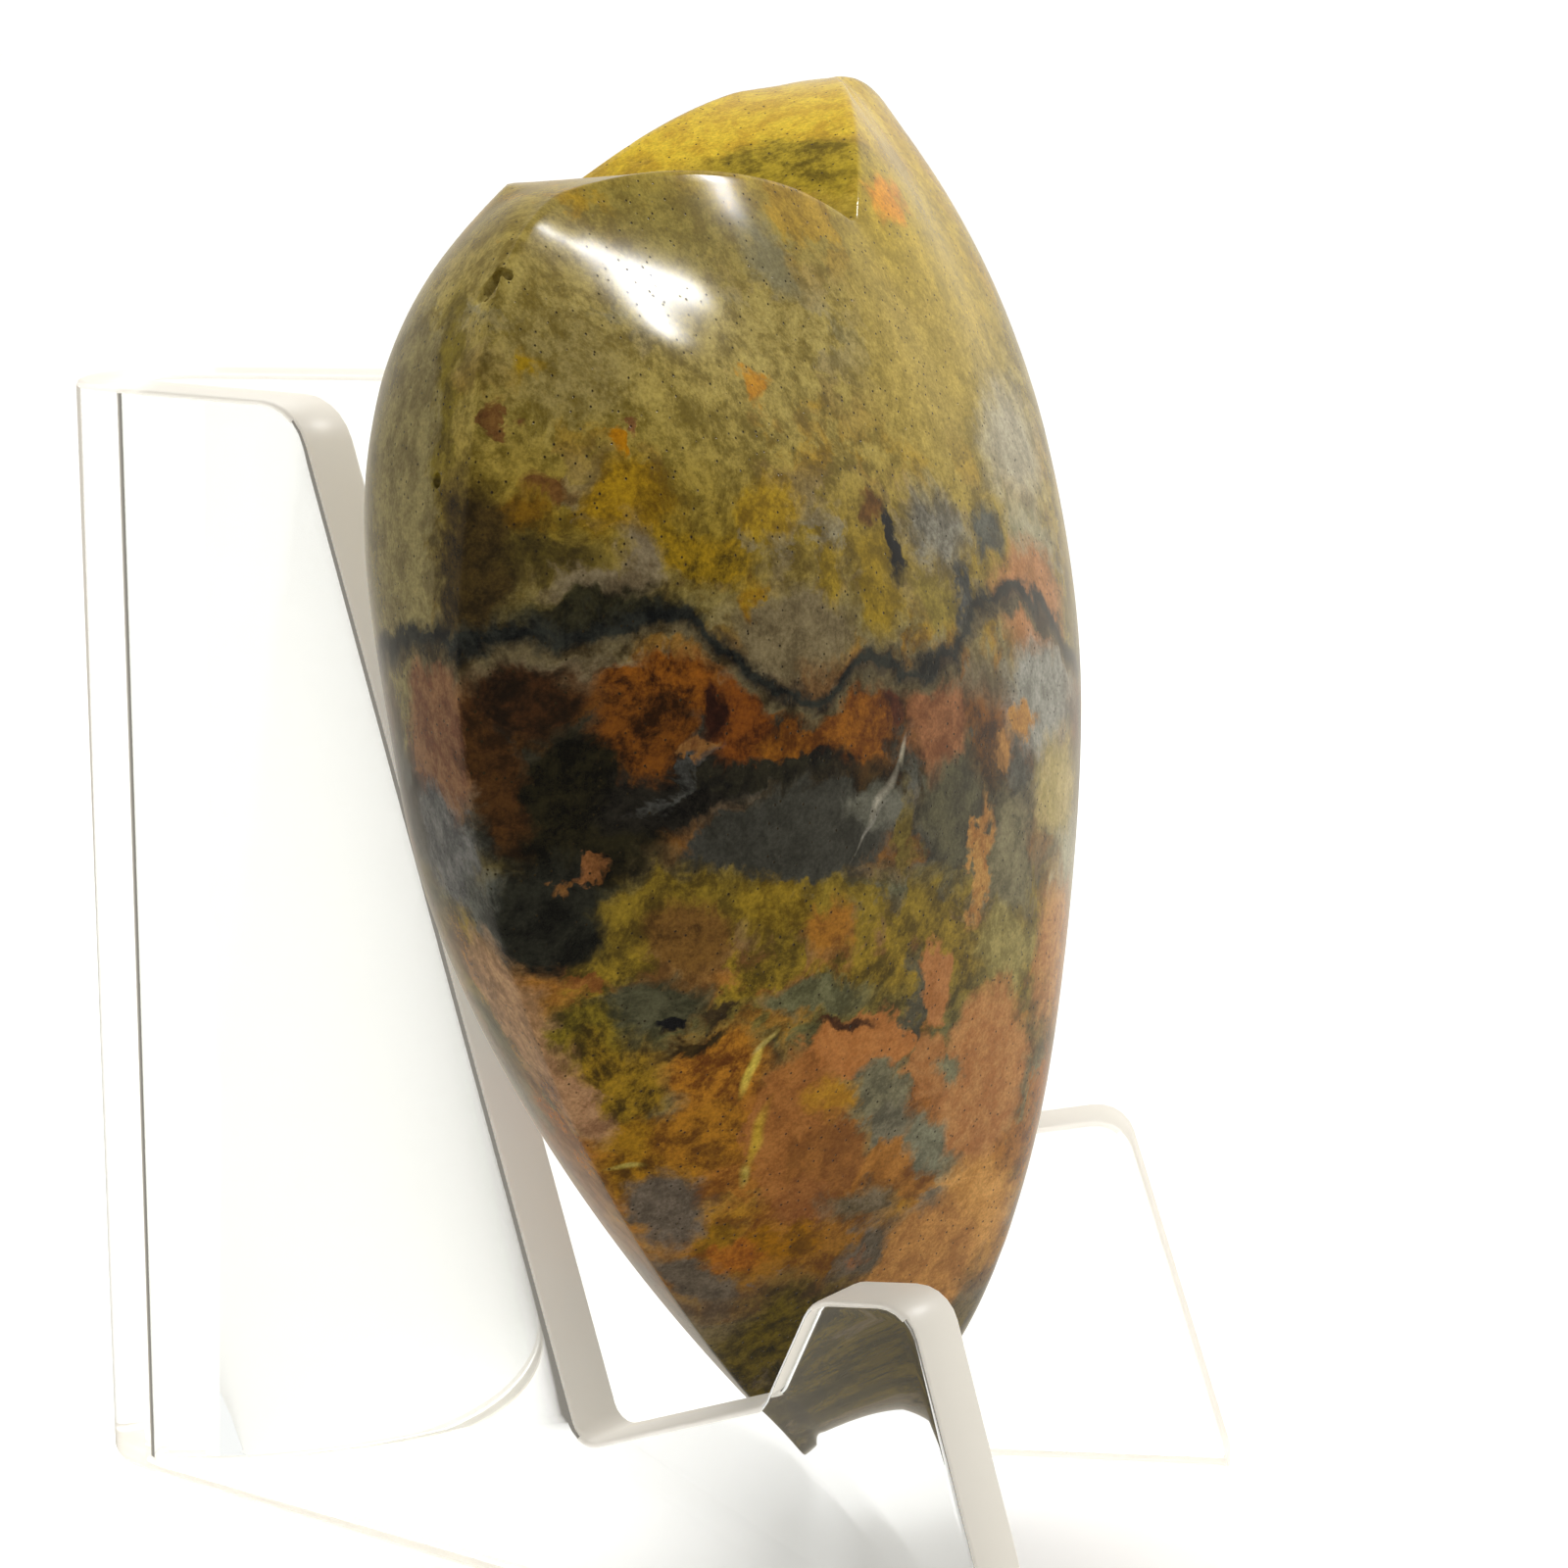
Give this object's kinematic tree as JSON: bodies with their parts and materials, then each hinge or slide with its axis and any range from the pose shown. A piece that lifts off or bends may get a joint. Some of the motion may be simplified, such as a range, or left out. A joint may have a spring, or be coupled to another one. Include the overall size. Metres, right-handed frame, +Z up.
{
  "type": "polished stone heart on a stand",
  "caption": "Puffed heart carved and polished from banded jasper, leaning in a clear folded acrylic easel.",
  "frame": {"origin": "middle of the footprint of stone and easel together, on the table", "axes": "+Z up, -Y the way the heart's face looks, +X to the right of someone facing it"},
  "size_m": [0.0522, 0.0494, 0.0623],
  "materials": {
    "jasper": "polished opaque stone, mottled mustard, olive, rust and slate",
    "acrylic": "clear polished acrylic sheet"
  },
  "bodies": {
    "root": {"heart": "jasper", "easel": "acrylic"}
  },
  "joints": []
}
